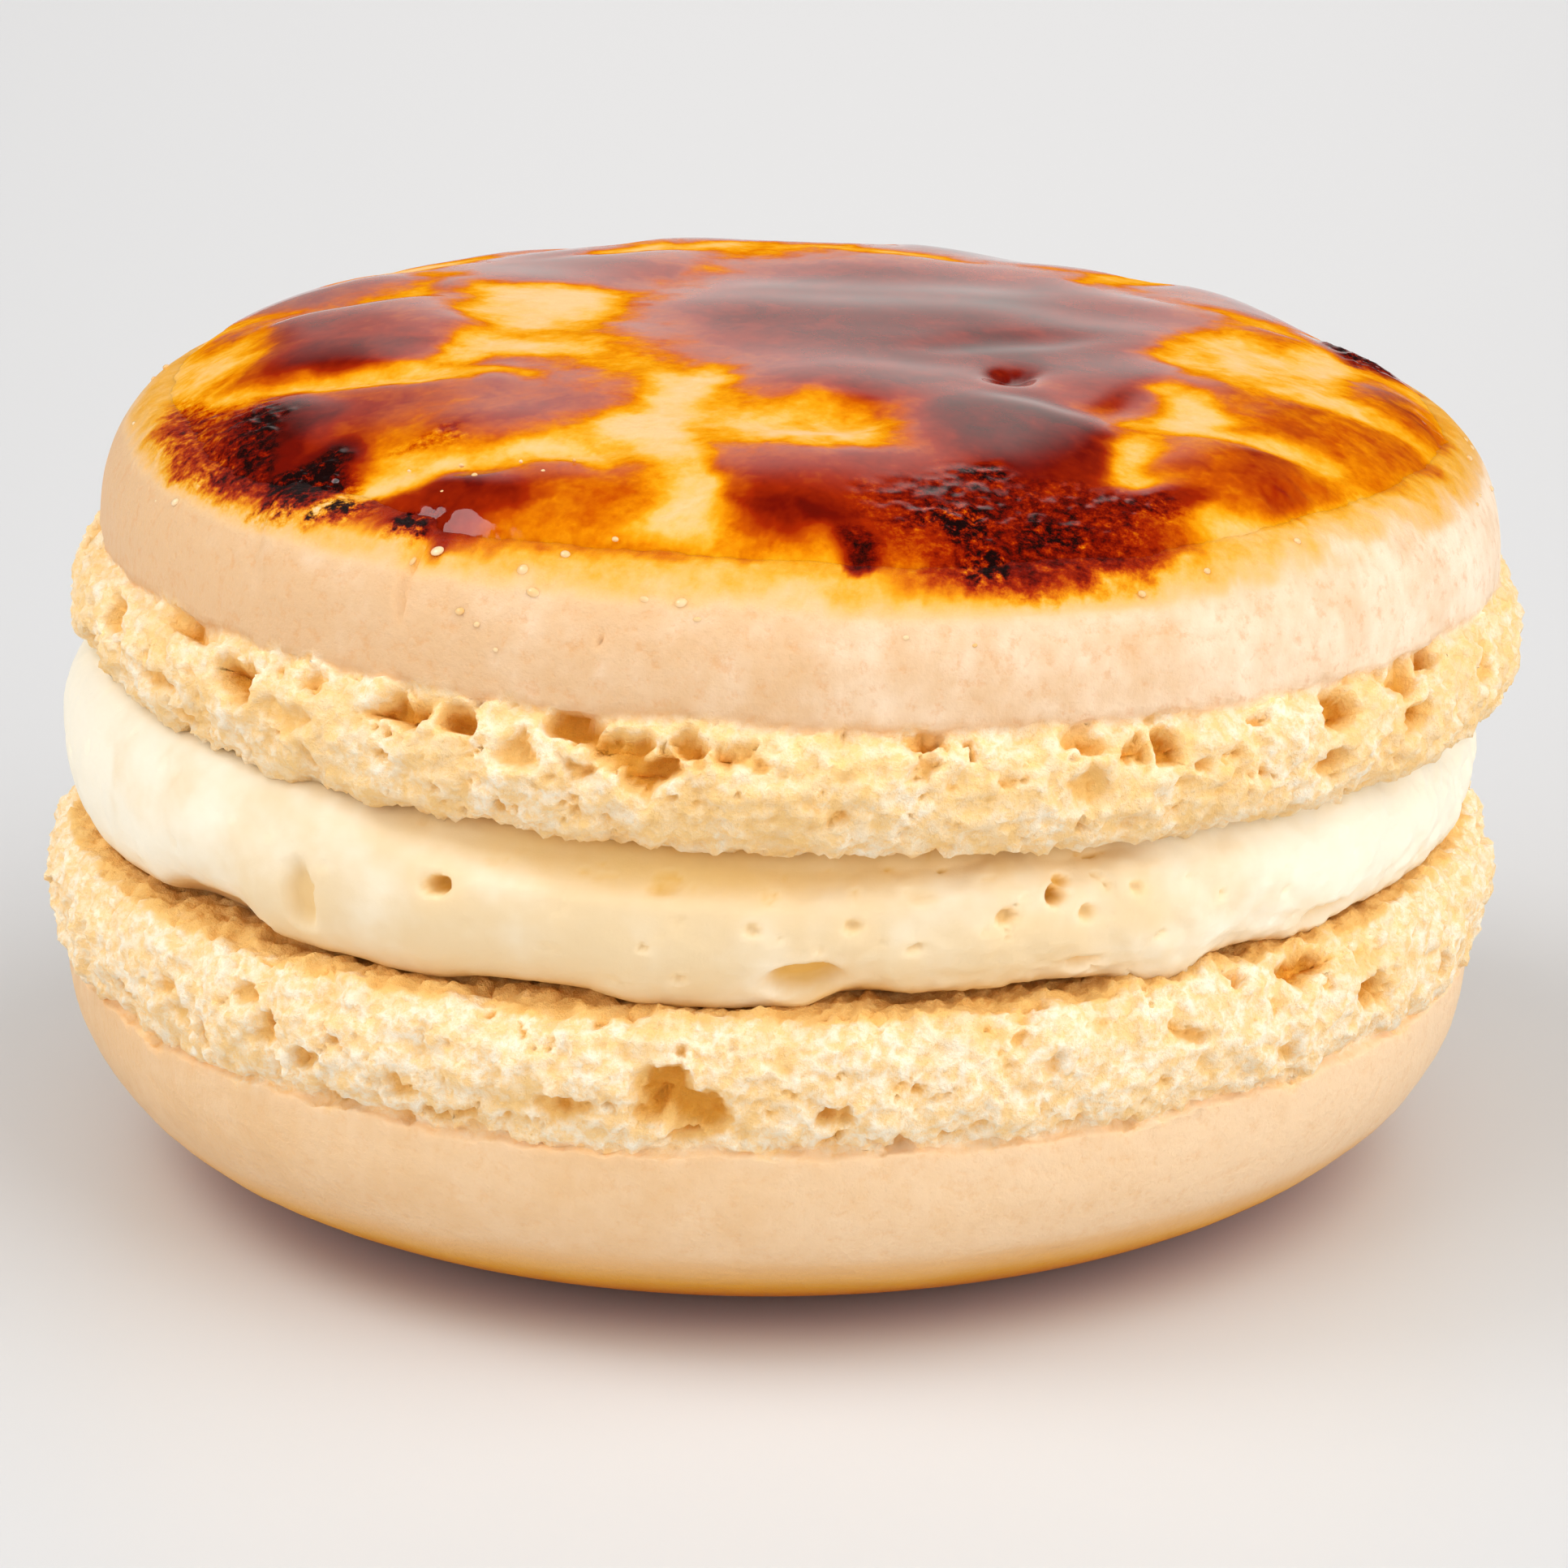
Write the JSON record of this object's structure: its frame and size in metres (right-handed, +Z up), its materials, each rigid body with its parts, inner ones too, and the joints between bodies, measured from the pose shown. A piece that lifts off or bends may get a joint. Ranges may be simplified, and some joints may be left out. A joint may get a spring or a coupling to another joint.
{
  "type": "french macaron",
  "caption": "Round french macaron of almond meringue shells with a cream filling and a torched caramel sugar top, resting on its lower shell.",
  "frame": {"origin": "centre of the flat on the lower shell's underside, where the macaron rests", "axes": "+Z up through the stack, -Y towards the front of the picture, +X to its right"},
  "size_m": [0.0464, 0.0456, 0.0267],
  "materials": {
    "shell": "baked almond meringue, smooth skin on the cap and open crumb on the foot",
    "cream": "soft whipped cream with a satin face and small air holes",
    "sugar": "torched sugar, glossy, from gold through amber and red-brown to black"
  },
  "bodies": {
    "root": {"bottom_shell": "shell", "cream_filling": "cream", "top_shell": "shell", "burnt_sugar": "sugar"}
  },
  "joints": []
}
